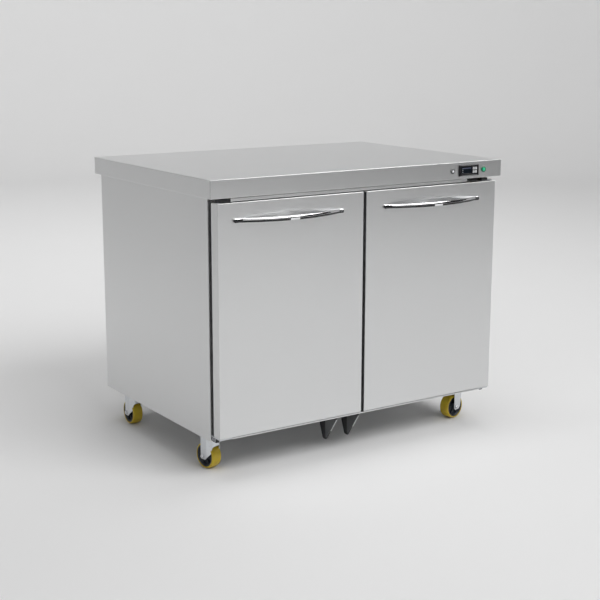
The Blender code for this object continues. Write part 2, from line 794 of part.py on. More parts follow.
def make_castor(name, x, y, turn):
    """A swivel castor: the fork and wheel trail behind the swivel axis, at the given turn about Z."""
    pivot = Vector((x, y, 0.0))
    plate_low = BODY_BOTTOM - GAP - PLATE_THICK
    half = PLATE / 2
    chamfer = 0.006
    outline = [
        (x - half + chamfer, y - half),
        (x + half - chamfer, y - half),
        (x + half, y - half + chamfer),
        (x + half, y + half - chamfer),
        (x + half - chamfer, y + half),
        (x - half + chamfer, y + half),
        (x - half, y + half - chamfer),
        (x - half, y - half + chamfer),
    ]
    bm = bmesh.new()
    add_prism(bm, outline, 2, plate_low, plate_low + PLATE_THICK)
    plate = finish(f"{name}_castor_plate", bm, ZINC)
    bm = bmesh.new()
    add_lathe(bm, [(0.023, plate_low - RACEWAY), (0.025, plate_low + 0.001)], pivot, 2, 24)
    boolean(plate, cutter(f"{name}_raceway", bm), "UNION")

    crown_top = plate_low - RACEWAY - GAP
    crown_low = crown_top - 0.003
    frame = Matrix.Translation(pivot) @ Matrix.Rotation(turn, 4, "Z")
    origin = tuple(frame @ Vector((0, TRAIL, WHEEL_R)))

    def placed(bm):
        bmesh.ops.transform(bm, matrix=frame, verts=bm.verts)
        return bm

    # Fork: a round-fronted crown with two legs, in the swivel's own frame, trailing towards +Y
    crown_r = 0.028
    leg_back = TRAIL + LEG_BACK
    side = FORK_HALF
    start = atan2(-(crown_r**2 - side**2) ** 0.5, side)
    crown = [(side, leg_back)]
    steps = 8
    for k in range(steps + 1):
        angle = start + (-pi - 2 * start) * k / steps
        crown.append((crown_r * cos(angle), crown_r * sin(angle)))
    crown.append((-side, leg_back))
    bm = bmesh.new()
    add_prism(bm, crown, 2, crown_low, crown_top)
    fork = finish(f"{name}_castor_fork", placed(bm), ZINC, tuple(pivot))
    leg_front = -((crown_r**2 - side**2) ** 0.5)
    leg = [
        (leg_back, crown_top - 0.001),
        (leg_back, WHEEL_R - 0.006),
        (TRAIL + 0.006, WHEEL_R - 0.009),
        (TRAIL - 0.010, WHEEL_R - 0.009),
        (leg_front, WHEEL_R + 0.016),
        (leg_front, crown_top - 0.001),
    ]
    for label, sign in (("left_leg", -1), ("right_leg", 1)):
        ends = sorted((sign * (side - FORK_SHEET), sign * side))
        bm = bmesh.new()
        add_prism(bm, leg, 0, ends[0], ends[1])
        boolean(fork, cutter(f"{name}_{label}", placed(bm)), "UNION")
    bm = bmesh.new()
    bolt_hole = [(0.0044, -side - THROUGH), (0.0044, side + THROUGH)]
    add_lathe(bm, bolt_hole, (0, TRAIL, WHEEL_R), 0, 16)
    boolean(fork, cutter(f"{name}_bolt_hole", placed(bm)))

    def turned(label, profile, look, sides, closed):
        bm = bmesh.new()
        rings = []
        for radius, along in profile:
            rings.append(
                [
                    (
                        along,
                        TRAIL + radius * cos(2 * pi * i / sides),
                        WHEEL_R + radius * sin(2 * pi * i / sides),
                    )
                    for i in range(sides)
                ]
            )
        add_rings(bm, rings, closed)
        finish(f"{name}_castor_{label}", placed(bm), look, origin, smooth=True)

    wide, rim = WHEEL_W / 2, WHEEL_R - TYRE_THICK
    inner = side - FORK_SHEET
    turned(
        "tyre",
        [
            (rim, -wide),
            (WHEEL_R - 0.002, -wide),
            (WHEEL_R, -wide + 0.004),
            (WHEEL_R, wide - 0.004),
            (WHEEL_R - 0.002, wide),
            (rim, wide),
        ],
        TYRE,
        32,
        True,
    )
    hub_rim = rim - GAP
    turned(
        "hub",
        [
            (0.0044, -inner + 0.0006),
            (0.010, -inner + 0.0006),
            (0.011, -wide + 0.004),
            (0.0265, -wide + 0.004),
            (0.0285, -wide + 0.001),
            (hub_rim, -wide + 0.001),
            (hub_rim, wide - 0.001),
            (0.0285, wide - 0.001),
            (0.0265, wide - 0.004),
            (0.011, wide - 0.004),
            (0.010, inner - 0.0006),
            (0.0044, inner - 0.0006),
        ],
        HUB,
        24,
        True,
    )
    head = side + GAP
    turned(
        "axle",
        [
            (0.0065, -head - 0.004),
            (0.0065, -head),
            (0.0040, -head),
            (0.0040, head),
            (0.0065, head),
            (0.0065, head + 0.004),
        ],
        ZINC,
        12,
        False,
    )


def make_castors():
    places = (
        ("front_left", -CASTOR_X, CASTOR_Y[0], CASTOR_TURNS[0]),
        ("front_right", CASTOR_X, CASTOR_Y[0], CASTOR_TURNS[1]),
        ("rear_left", -CASTOR_X, CASTOR_Y[1], 0.0),
        ("rear_right", CASTOR_X, CASTOR_Y[1], 0.0),
    )
    for name, x, y, turn in places:
        make_castor(name, x, y, turn)


def main():
    clear_scene()
    make_worktop()
    make_controls()
    make_cabinet()
    make_shelves()
    make_rear_panel()
    make_anti_tip_bracket()
    for side in (-1, 1):
        make_door(side)
    make_engine()
    make_evaporator()
    make_castors()


main()
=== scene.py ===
"""Looks of the two-door undercounter refrigerator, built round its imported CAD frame. Metres, +Z up."""

import json
from math import cos, pi, radians, sin, sqrt

import bmesh
import bpy
from mathutils import Matrix, Vector


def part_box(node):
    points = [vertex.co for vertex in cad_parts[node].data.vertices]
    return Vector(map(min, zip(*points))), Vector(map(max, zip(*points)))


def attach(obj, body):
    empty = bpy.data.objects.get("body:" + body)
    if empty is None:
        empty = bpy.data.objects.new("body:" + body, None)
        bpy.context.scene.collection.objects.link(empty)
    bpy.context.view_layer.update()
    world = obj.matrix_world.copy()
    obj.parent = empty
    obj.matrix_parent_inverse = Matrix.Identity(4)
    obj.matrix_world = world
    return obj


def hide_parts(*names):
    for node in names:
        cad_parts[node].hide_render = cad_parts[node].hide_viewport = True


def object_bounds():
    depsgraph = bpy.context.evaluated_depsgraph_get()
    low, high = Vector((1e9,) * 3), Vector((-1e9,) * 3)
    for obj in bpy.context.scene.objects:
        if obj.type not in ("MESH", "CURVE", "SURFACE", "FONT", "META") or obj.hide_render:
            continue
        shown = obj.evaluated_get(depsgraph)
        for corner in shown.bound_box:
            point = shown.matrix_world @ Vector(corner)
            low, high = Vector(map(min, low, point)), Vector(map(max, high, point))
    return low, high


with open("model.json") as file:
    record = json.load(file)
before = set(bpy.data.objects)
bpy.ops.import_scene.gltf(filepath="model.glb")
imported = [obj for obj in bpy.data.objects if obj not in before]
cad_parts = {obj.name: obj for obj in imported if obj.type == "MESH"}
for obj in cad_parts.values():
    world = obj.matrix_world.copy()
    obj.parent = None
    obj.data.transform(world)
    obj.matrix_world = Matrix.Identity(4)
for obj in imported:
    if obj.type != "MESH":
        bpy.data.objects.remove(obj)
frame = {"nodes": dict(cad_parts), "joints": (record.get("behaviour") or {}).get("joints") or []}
CAD_LOW, CAD_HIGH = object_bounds()
JOINTS = {joint["name"]: joint for joint in frame["joints"]}

SIDES = ("left", "right")
CASTORS = ("front_left", "front_right", "rear_left", "rear_right")
CLEAR = 0.0003  # keeps touching pieces apart

# Camera and studio
CAMERA_PLACE = (-2.0499, -3.0979, 1.1903)
CAMERA_YAW = radians(33.48)  # from +Y towards +X
CAMERA_PITCH = radians(12.23)  # below the horizon
CAMERA_ROLL = radians(0.11)
CAMERA_LENS = 75.37
SENSOR = 36.0
FLOOR_RADIUS = 6.5
SWEEP_RADIUS = 2.2
WALL_HEIGHT = 5.2
# Softboxes: name, place, target, size, power
LIGHTS = (
    ("front_key", (1.5, -4.6, 4.8), (0.0, 0.3, 0.2), (5.0, 3.0), 198.0),
    ("front_fill", (0.8, -5.4, 5.6), (0.0, 0.3, 0.2), (5.0, 3.0), 108.0),
    ("left_fill", (-3.6, -2.6, 5.0), (0.0, 0.3, 0.2), (4.0, 3.0), 46.0),
    ("ceiling_wide", (0.3, 0.2, 5.2), (0.0, 0.3, 0.0), (6.0, 6.0), 35.0),
    ("ceiling_small", (0.6, -0.4, 5.0), (0.0, 0.0, 0.0), (2.5, 2.5), 17.0),
    ("wall_low", (0.5, 2.2, 5.0), (2.6, 8.2, 1.0), (3.0, 3.0), 105.0),
    ("wall_high", (1.5, 3.6, 6.6), (3.0, 8.6, 1.5), (3.0, 3.0), 50.0),
    ("wall_wide", (-1.0, 0.6, 6.6), (2.4, 8.6, 1.2), (4.0, 3.0), 95.0),
)
# Shows only as a glint along the rounded edges that face it
EDGE_LIGHT = ("edge_light", (3.2, -1.1, 4.9), (0.0, 0.0, 0.4), (1.8, 1.8), 70.0)
# Black cards that only mirror-like surfaces see: name, place, target, size
FLAGS = (
    ("dark_flag", (2.76, -3.27, 0.98), (0.0, 0.0, 0.7), (4.2, 1.3)),
)


# ---------------------------------------------------------------- materials


def surface(name, colour, roughness, metallic=0.0, grain=(320, 320, 320), spread=0.04, tint=0.03,
            bump=0.10, broad=2.4, **sockets):
    """A Principled material whose colour, roughness and height follow a fine and a broad noise."""
    made = bpy.data.materials.new(name)
    made.use_nodes = True
    tree = made.node_tree
    shader = tree.nodes["Principled BSDF"]
    place = tree.nodes.new("ShaderNodeTexCoord")

    def noise(scale, detail):
        mapping = tree.nodes.new("ShaderNodeMapping")
        mapping.inputs["Scale"].default_value = scale
        tree.links.new(place.outputs["Object"], mapping.inputs["Vector"])
        texture = tree.nodes.new("ShaderNodeTexNoise")
        texture.inputs["Scale"].default_value = 1.0
        texture.inputs["Detail"].default_value = detail
        tree.links.new(mapping.outputs["Vector"], texture.inputs["Vector"])
        return texture.outputs["Fac"]

    def ranged(value, low, high):
        node = tree.nodes.new("ShaderNodeMapRange")
        node.inputs["From Min"].default_value = 0.3
        node.inputs["From Max"].default_value = 0.7
        node.inputs["To Min"].default_value = low
        node.inputs["To Max"].default_value = high
        tree.links.new(value, node.inputs["Value"])
        return node.outputs["Result"]

    def blended(factor, one, two):
        node = tree.nodes.new("ShaderNodeMix")
        node.data_type = "RGBA"
        node.inputs["A"].default_value = (*one, 1.0)
        node.inputs["B"].default_value = (*two, 1.0)
        tree.links.new(factor, node.inputs["Factor"])
        return node.outputs["Result"]

    fine = noise(grain, 3.0)
    wide = noise((broad,) * 3, 2.0)
    both = tree.nodes.new("ShaderNodeMath")
    both.operation = "MULTIPLY_ADD"
    both.inputs[1].default_value = 0.35
    tree.links.new(fine, both.inputs[0])
    half = tree.nodes.new("ShaderNodeMath")
    half.operation = "MULTIPLY"
    half.inputs[1].default_value = 0.65
    tree.links.new(wide, half.inputs[0])
    tree.links.new(half.outputs[0], both.inputs[2])
    mixed = ranged(both.outputs[0], 0.0, 1.0)
    dark = tuple(c * (1 - tint) for c in colour)
    light = tuple(min(1.0, c * (1 + tint)) for c in colour)
    tree.links.new(blended(mixed, dark, light), shader.inputs["Base Color"])
    tree.links.new(
        ranged(fine, max(0.02, roughness - spread), roughness + spread), shader.inputs["Roughness"]
    )
    shader.inputs["Metallic"].default_value = metallic
    relief = tree.nodes.new("ShaderNodeBump")
    relief.inputs["Strength"].default_value = bump
    relief.inputs["Distance"].default_value = 0.0004
    tree.links.new(fine, relief.inputs["Height"])
    tree.links.new(relief.outputs["Normal"], shader.inputs["Normal"])
    for socket, value in sockets.items():
        shader.inputs[socket.replace("_", " ")].default_value = value
    return made


STEEL_COLOUR = (0.735, 0.740, 0.742)
SATIN = surface("satin_steel_upright", STEEL_COLOUR, 0.30, 1.0, grain=(900, 900, 5), spread=0.02,
                tint=0.005, bump=0.01)
SATIN_TOP = surface("satin_steel_worktop", STEEL_COLOUR, 0.30, 1.0, grain=(5, 900, 900), spread=0.02,
                    tint=0.005, bump=0.01)
LINER = surface("satin_steel_liner", (0.76, 0.765, 0.77), 0.36, 1.0, grain=(5, 700, 700), tint=0.015,
                bump=0.03)
ZINC = surface("bright_zinc", (0.70, 0.72, 0.745), 0.30, 1.0, grain=(260, 260, 260), spread=0.03, tint=0.03,
               bump=0.03, broad=40.0)
BOLT = surface("bolt_zinc", (0.66, 0.67, 0.69), 0.24, 1.0, grain=(600, 600, 600), spread=0.06, tint=0.05,
               bump=0.1)
CHROME = surface("polished_chrome", (0.86, 0.865, 0.87), 0.05, 1.0, grain=(90, 90, 90), spread=0.015,
                 tint=0.01, bump=0.004)
# Chrome with painted dark reflections, for handle faces that stand in for mirrored dark surroundings
CHROME_PAINTED_REFLECTION = surface("chrome_painted_dark_reflection", (0.045, 0.046, 0.048), 0.14, 1.0, grain=(90, 90, 90), spread=0.02,
                       tint=0.05, bump=0.004)
# Lighter grey than the black bracket steel: painted light on the anti-tip bracket's front part
WEB_PAINTED_LIGHT = surface("bracket_web", (0.14, 0.143, 0.147), 0.5, grain=(1100, 1100, 1100), tint=0.1, bump=0.2)
# Zinc darkened as painted shade, for the shadow line between the body and the castor forks
PLATE_PAINTED_SHADE = surface("zinc_painted_shade", (0.10, 0.102, 0.105), 0.5, 1.0, grain=(260, 260, 260), tint=0.05, bump=0.05)
RUBBER = surface("gasket_rubber", (0.022, 0.022, 0.024), 0.62, grain=(900, 900, 900), tint=0.15, bump=0.2)
BLACK_STEEL = surface("black_coated_steel", (0.018, 0.018, 0.020), 0.42, grain=(1100, 1100, 1100), tint=0.2,
                      bump=0.35)
BLACK_PLASTIC = surface("black_gloss_plastic", (0.008, 0.008, 0.010), 0.16, grain=(800, 800, 800), tint=0.1,
                        bump=0.03, Specular_IOR_Level=0.35)
DISPLAY = surface("display_lens", (0.005, 0.008, 0.012), 0.12, grain=(60, 60, 60), spread=0.01, tint=0.05,
                  bump=0.0, Specular_IOR_Level=0.12)
# Lighter blue for the painted reflection along the display lens's upper edge
LENS_PAINTED_REFLECTION = surface("lens_painted_reflection", (0.075, 0.085, 0.14), 0.3, grain=(500, 500, 500), tint=0.03, bump=0.0)
LIP = surface("lip_plastic", (0.13, 0.135, 0.135), 0.4, grain=(500, 500, 500), tint=0.03, bump=0.0)
MARK = surface("display_marks", (0.36, 0.38, 0.40), 0.4, grain=(500, 500, 500), tint=0.03, bump=0.0)
KEY = surface("key_rubber", (0.50, 0.51, 0.52), 0.45, grain=(1200, 1200, 1200), tint=0.03, bump=0.1)
CAP = surface("button_cap", (0.80, 0.81, 0.82), 0.20, grain=(700, 700, 700), tint=0.02, bump=0.02)
GREEN = surface("green_lens", (0.006, 0.30, 0.135), 0.12, grain=(300, 300, 300), tint=0.06, bump=0.0,
                Coat_Weight=0.5, Emission_Color=(0.03, 0.85, 0.42, 1.0), Emission_Strength=0.28)
GREEN_RIM = surface("green_rim", (0.010, 0.17, 0.085), 0.25, grain=(500, 500, 500), tint=0.06, bump=0.03)
DARK_RIM = surface("dark_rim", (0.13, 0.134, 0.137), 0.28, 0.6, grain=(500, 500, 500), tint=0.06, bump=0.03)
TYRE = surface("amber_polyurethane", (0.56, 0.405, 0.020), 0.36, grain=(420, 420, 420), tint=0.08, bump=0.12,
               broad=30.0, Subsurface_Weight=0.12, Subsurface_Scale=0.004)
HUB = surface("hub_plastic", (0.020, 0.024, 0.032), 0.38, grain=(900, 900, 900), tint=0.12, bump=0.15)
WIRE = surface("coated_wire", (0.78, 0.79, 0.80), 0.38, grain=(500, 500, 500), tint=0.03, bump=0.12)
ENAMEL = surface("black_enamel", (0.010, 0.010, 0.011), 0.28, grain=(240, 240, 240), tint=0.2, bump=0.25)
FIN = surface("fin_aluminium", (0.74, 0.75, 0.76), 0.34, 1.0, grain=(500, 500, 500), tint=0.05, bump=0.1)
COPPER = surface("copper_pipe", (0.72, 0.36, 0.22), 0.30, 1.0, grain=(200, 200, 200), tint=0.10, bump=0.05)
MOULDING = surface("inner_moulding", (0.72, 0.73, 0.735), 0.42, grain=(1400, 1400, 1400), tint=0.015,
                   bump=0.12)
FOAM = surface("rigid_foam", (0.70, 0.58, 0.34), 0.85, grain=(700, 700, 700), tint=0.08, bump=0.6)
STUDIO = surface("studio_paper", (0.80, 0.80, 0.80), 0.95, grain=(40, 40, 40), spread=0.02, tint=0.002,
                 bump=0.0)


# ---------------------------------------------------------------- mesh helpers


def piece(name, bm, look, body, stands_for=(), angle=32):
    """Turns a bmesh into a shown piece that rides on a CAD body."""
    bmesh.ops.recalc_face_normals(bm, faces=bm.faces)
    mesh = bpy.data.meshes.new(name)
    bm.to_mesh(mesh)
    bm.free()
    mesh.shade_smooth()
    mesh.set_sharp_from_angle(angle=radians(angle))
    obj = bpy.data.objects.new(name, mesh)
    bpy.context.scene.collection.objects.link(obj)
    mesh.materials.append(look)
    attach(obj, body)
    if stands_for:
        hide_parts(*stands_for)
    return obj


def soften(obj, width, segments=2):
    """Rounds the sharp edges of a piece or a CAD node."""
    weld = obj.modifiers.new("weld", "WELD")
    weld.merge_threshold = 0.000002
    bevel = obj.modifiers.new("rounding", "BEVEL")
    bevel.width = width
    bevel.segments = segments
    bevel.limit_method = "ANGLE"
    bevel.angle_limit = radians(32)
    bevel.use_clamp_overlap = True
    normals = obj.modifiers.new("normals", "WEIGHTED_NORMAL")
    normals.keep_sharp = True


def dress(node, look, width=0.0, segments=2):
    """Gives a carried-over CAD node its material and rounded edges."""
    obj = frame["nodes"][node]
    obj.data.materials.clear()
    obj.data.materials.append(look)
    if width:
        soften(obj, width, segments)


def add_box(bm, low, high):
    """A box from its low corner to its high corner."""
    verts = bmesh.ops.create_cube(bm, size=1.0)["verts"]
    for vert in verts:
        for i in range(3):
            vert.co[i] = low[i] if vert.co[i] < 0 else high[i]
    return verts


def add_round_box(bm, low, high, radius, segments=3):
    """A box with all its edges rounded."""
    verts = add_box(bm, low, high)
    edges = list({edge for vert in verts for edge in vert.link_edges})
    bmesh.ops.bevel(bm, geom=edges, offset=radius, segments=segments, profile=0.5, affect="EDGES")


def add_rings(bm, rings, closed=False):
    """Bridges equal rings of points, and caps both ends unless the last ring meets the first."""
    made = [[bm.verts.new(point) for point in ring] for ring in rings]
    pairs = list(zip(made, made[1:]))
    if closed:
        pairs.append((made[-1], made[0]))
    else:
        bm.faces.new(made[0])
        bm.faces.new(made[-1])
    for one, two in pairs:
        for i in range(len(one)):
            j = (i + 1) % len(one)
            bm.faces.new((one[i], one[j], two[j], two[i]))


def add_lathe(bm, profile, centre, axis, sides=32, closed=False):
    """Turns (radius, distance along) points round an axis through centre."""
    along = Vector(axis).normalized()
    across = along.orthogonal().normalized()
    other = along.cross(across)
    rings = []
    for radius, distance in profile:
        middle = Vector(centre) + along * distance
        rings.append(
            [
                middle + (across * cos(2 * pi * i / sides) + other * sin(2 * pi * i / sides)) * radius
                for i in range(sides)
            ]
        )
    add_rings(bm, rings, closed)


def add_tube(bm, points, radius, sides=10, closed=False):
    """A round wire along a path, with its ring of points carried smoothly round the bends."""
    points = [Vector(point) for point in points]
    count = len(points)
    tangents = []
    for i in range(count):
        if closed:
            ahead, behind = points[(i + 1) % count], points[i - 1]
        else:
            ahead, behind = points[min(i + 1, count - 1)], points[max(i - 1, 0)]
        tangents.append((ahead - behind).normalized())
    across = tangents[0].orthogonal().normalized()
    rings = []
    for point, tangent in zip(points, tangents):
        across = (across - tangent * across.dot(tangent)).normalized()
        other = tangent.cross(across)
        rings.append(
            [
                point + (across * cos(2 * pi * k / sides) + other * sin(2 * pi * k / sides)) * radius
                for k in range(sides)
            ]
        )
    add_rings(bm, rings, closed)


def add_prism(bm, outline, to_place, low, high):
    """Extrudes an outline of (a, b) points from low to high; to_place turns (a, b, h) into a point."""
    near = [to_place(a, b, low) for a, b in outline]
    far = [to_place(a, b, high) for a, b in outline]
    add_rings(bm, [near, far])


def frame_rings(low, high, profile, plane_axis=1):
    """Mitred rectangles for a profile of (inset, place along the axis), for gaskets and rims."""
    others = [i for i in range(3) if i != plane_axis]
    rings = []
    for inset, along in profile:
        ring = []
        for a, b in (
            (low[others[0]] + inset, low[others[1]] + inset),
            (high[others[0]] - inset, low[others[1]] + inset),
            (high[others[0]] - inset, high[others[1]] - inset),
            (low[others[0]] + inset, high[others[1]] - inset),
        ):
            place = [0.0, 0.0, 0.0]
            place[plane_axis] = along
            place[others[0]], place[others[1]] = a, b
            ring.append(Vector(place))
        rings.append(ring)
    return rings


def add_screw(bm, place, axis, radius=0.0035, height=0.0016):
    """A pan-head screw with a cross recess."""
    axis = Vector(axis).normalized()
    profile = [
        (radius, 0.0),
        (radius, height * 0.35),
        (radius * 0.86, height * 0.78),
        (radius * 0.55, height),
        (radius * 0.22, height),
        (radius * 0.16, height * 0.35),
    ]
    add_lathe(bm, profile, place, axis, 16)
    across = axis.orthogonal().normalized()
    other = axis.cross(across)
    top = Vector(place) + axis * height
    for one, two in ((across, other), (other, across)):
        near, far = radius * 0.24, radius * 0.56
        for sign in (-1, 1):
            corners = [(near, -0.1), (far, -0.1), (far, 0.1), (near, 0.1)]
            outline = [top + one * a * sign + two * b * radius for a, b in corners]
            add_rings(bm, [[p - axis * height * 0.3 for p in outline], [p + axis * 0.00004 for p in outline]])


def add_hex(bm, place, axis, radius, height, washer=0.0):
    """A hexagon head with a chamfered top, on a washer if one is asked for."""
    base = 0.0
    if washer:
        add_lathe(bm, [(washer, 0.0), (washer, 0.0009), (washer * 0.96, 0.0011)], place, axis, 24)
        base = 0.001
    profile = [(radius, base), (radius, height * 0.8), (radius * 0.86, height)]
    add_lathe(bm, profile, place, axis, 6)


# ---------------------------------------------------------------- cabinet


def dress_cabinet():
    """Looks of the fixed sheet metal, foam and moulded parts."""
    dress("worktop_skin", SATIN_TOP, 0.0013, 3)
    dress("worktop_core", FOAM)
    for side in SIDES:
        dress(side + "_side_panel", SATIN, 0.0006)
    dress("base_pan", SATIN, 0.0004)
    dress("face_frame", SATIN, 0.0004)
    dress("rear_panel", SATIN, 0.0003)
    dress("insulation", FOAM)
    dress("inner_liner", LINER, 0.0008)
    dress("centre_mullion", SATIN, 0.001)
    dress("anti_tip_bracket", BLACK_STEEL, 0.0008)
    dress("evaporator_cover", MOULDING, 0.0008)
    dress("power_inlet", BLACK_PLASTIC, 0.0005)


def make_bracket_webs():
    """A web that thickens each cheek of the anti-tip bracket, lighter than the black cheeks as painted light
    on the bracket's front part, and a white bead along its front edge as a painted highlight.
    """
    low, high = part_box("anti_tip_bracket")
    sheet, proud, bead_radius = 0.003, 0.0006, 0.0013
    top = high.z - 0.0080
    web = [
        (low.y + 0.0045, top),
        (low.y + 0.0585, top),
        (low.y + 0.0565, low.z + 0.0100),
        (low.y + 0.0525, low.z + 0.0045),
    ]
    bm = bmesh.new()
    bead = bmesh.new()
    for left, right in ((low.x, low.x + sheet), (high.x - sheet, high.x)):
        add_rings(bm, [[(x, y, z) for y, z in web] for x in (left - proud, right + proud)])
        middle = (left + right) / 2
        ends = [(middle, low.y + 0.0028, top), (middle, low.y + 0.0316, low.z + 0.0316)]
        add_tube(bead, ends, bead_radius, 8)
    # The webs' grey, lighter than the black cheeks, is painted light
    piece("anti_tip_webs", bm, WEB_PAINTED_LIGHT, "cabinet")
    # The bead's white stands in for the light caught along the bracket's front edge (painted highlight)
    piece("anti_tip_painted_highlight_beads", bead, WIRE, "cabinet", angle=60)


def make_worktop_seams():
    """The welded seams at the two front corners of the worktop's folded edge."""
    low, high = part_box("worktop_skin")
    radius, inset = 0.00045, 0.0006
    bm = bmesh.new()
    for x in (low.x + inset, high.x - inset):
        profile = [(radius, low.z + 0.001), (radius, high.z - 0.0022)]
        add_lathe(bm, profile, (x, low.y + inset, 0.0), (0, 0, 1), 8)
    piece("worktop_corner_seams", bm, DARK_RIM, "cabinet")


def make_rear_details():
    """Louvre hoods, screws and the inlet's pins on the rear panel."""
    panel_low, panel_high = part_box("rear_panel")
    face = panel_high.y
    reach = CAD_HIGH.y - face
    bm = bmesh.new()
    # A pressed hood over each slot: it leans out from the slot's upper edge
    rows, columns = 12, (-0.30, 0.0, 0.30)
    lowest, pitch, half_long = 0.178, 0.024, 0.113
    for column in columns:
        for row in range(rows):
            z = lowest + row * pitch
            outer, inner = [], []
            steps = 6
            for k in range(steps + 1):
                turn = pi / 2 * k / steps
                out, down = sin(turn), 1 - cos(turn)
                outer.append((face + out * reach * 0.92, z + 0.004 - down * 0.008))
                inner.append((face + out * (reach * 0.92 - 0.0009), z + 0.004 - 0.0009 - down * 0.0075))
            outline = outer + inner[::-1]
            ends = (column - half_long, column + half_long)
            add_prism(bm, outline, lambda a, b, h: Vector((h, a, b)), *ends)
    piece("louvre_hoods", bm, SATIN, "cabinet")

    bm = bmesh.new()
    for x in (panel_low.x + 0.035, 0.0, panel_high.x - 0.035):
        for z in (panel_low.z + 0.02, (panel_low.z + panel_high.z) / 2 + 0.16, panel_high.z - 0.02):
            add_screw(bm, (x, face, z), (0, 1, 0), 0.0042, 0.002)
    piece("rear_panel_screws", bm, BOLT, "cabinet")

    # Three flat pins in the inlet's pocket
    inlet_low, inlet_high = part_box("power_inlet")
    middle = (inlet_low + inlet_high) / 2
    bm = bmesh.new()
    root, tip = CAD_HIGH.y - 0.0175, CAD_HIGH.y - 0.006
    for dx, dz in ((0.0, 0.0035), (-0.0065, -0.0030), (0.0065, -0.0030)):
        x, z = middle.x + dx, middle.z + dz
        add_round_box(bm, (x - 0.001, root, z - 0.002), (x + 0.001, tip, z + 0.002), 0.0004, 2)
    piece("inlet_pins", bm, BOLT, "cabinet")


# ---------------------------------------------------------------- doors


def make_handle(side):
    """A chrome bow with an oval section: its two feet lie on the door, its middle stands off it."""
    node = side + "_door_handle"
    low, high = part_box(node)
    middle, half = (low.x + high.x) / 2, (high.x - low.x) / 2
    height = (low.z + high.z) / 2
    tall, reach = (high.z - low.z) / 2, high.y - low.y
    pad, blunt_end, stations, section, oval = 0.016, 0.0035, 96, 28, 0.78
    foot_thick, bow_more, bow_deep = 0.0065, 0.0035, 0.010
    rings = []
    for i in range(stations + 1):
        # Stations crowd towards the two round ends
        along = -half * cos(pi * i / stations)
        inside = abs(along)
        rise = max(0.0, 1 - (inside / (half - pad)) ** 2)
        blunt = min(1.0, (half - inside) / blunt_end)
        end = sqrt(max(0.0, 1 - (1 - blunt) ** 2)) * 0.94 + 0.06
        thick = foot_thick + bow_more * rise
        back = high.y - (reach - bow_deep) * rise
        centre_y = back - thick * 0.5
        ring = []
        for k in range(section):
            turn = 2 * pi * k / section
            a, b = cos(turn), sin(turn)
            y = centre_y - (abs(a) ** oval) * (1 if a > 0 else -1) * thick * 0.5 * end
            z = height + (abs(b) ** oval) * (1 if b > 0 else -1) * tall * end * (1 - 0.12 * (1 - rise))
            ring.append((middle + along, y, z))
        rings.append(ring)
    bm = bmesh.new()
    add_rings(bm, rings)
    # Painted dark reflection: dark chrome faces along the underside, round the left end and in a line along
    # the right half stand in for the dark surroundings that chrome mirrors; a short stretch in the middle of
    # the underside stays bright
    for face in bm.faces:
        spot = face.calc_center_median()
        along, lift = (spot.x - middle) / half, (spot.z - height) / tall
        under = lift < -0.05 and not -0.12 < along < 0.02
        left_end = along < -0.87 and lift < 0.55
        line = 0.30 < lift < 0.62 and 0.10 < along < 0.62
        face.material_index = int(under or left_end or line)
    bow = piece(node + "_bow", bm, CHROME, side + "_door", (node,), angle=60)
    bow.data.materials.append(CHROME_PAINTED_REFLECTION)


def make_gasket(side):
    """The magnetic seal: a snap-in foot, two bellows folds and the flat magnet tube."""
    node = side + "_door_gasket"
    low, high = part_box(node)
    deep = high.y - low.y
    wide = 0.014
    half_profile = [
        (0.10, 0.00),
        (0.10, 0.13),
        (0.24, 0.22),
        (0.08, 0.36),
        (0.24, 0.50),
        (0.00, 0.64),
        (0.00, 0.93),
        (0.08, 1.00),
    ]
    profile = [(a * wide, low.y + b * deep) for a, b in half_profile]
    profile += [((1 - a) * wide, low.y + b * deep) for a, b in half_profile[::-1]]
    bm = bmesh.new()
    add_rings(bm, frame_rings(low, high, profile), closed=True)
    obj = piece(node + "_bellows", bm, RUBBER, side + "_door", (node,))
    soften(obj, 0.0004)


def make_right_bracket(low, high, axis, under):
    """The right top hinge: a black arm, the bare plate with the eye at its end, and the pin."""
    body_front = high.y
    arm, split = 0.428, 0.4505  # where the arm steps forward, and where the bare plate begins
    wing_back, arm_back = 0.023, 0.019
    plate_thick, pin_radius, bends = 0.003, 0.0035, 8
    radius = high.x - axis.x
    front = axis.y - radius

    def at(x, y, z):
        return (x, y, z)

    outline = [(low.x, body_front), (low.x, front + wing_back), (arm, front + arm_back), (arm, front)]
    outline += [(split, front), (split, body_front)]
    bm = bmesh.new()
    add_prism(bm, outline, at, under, high.z)
    black = piece("right_top_hinge_arm", bm, BLACK_STEEL, "cabinet", ("right_top_hinge",))
    soften(black, 0.0006)
    outline = [(split + CLEAR, front), (axis.x, front)]
    for k in range(1, bends + 1):
        turn = -pi / 2 + pi / 2 * k / bends
        outline.append((axis.x + radius * cos(turn), axis.y + radius * sin(turn)))
    outline += [(high.x, body_front), (split + CLEAR, body_front)]
    bm = bmesh.new()
    add_prism(bm, outline, at, under, under + plate_thick)
    profile = [(pin_radius, low.z), (pin_radius, under + 0.0002)]
    add_lathe(bm, profile, (axis.x, axis.y, 0.0), (0, 0, 1), 20)
    piece("right_top_hinge_eye", bm, ZINC, "cabinet")


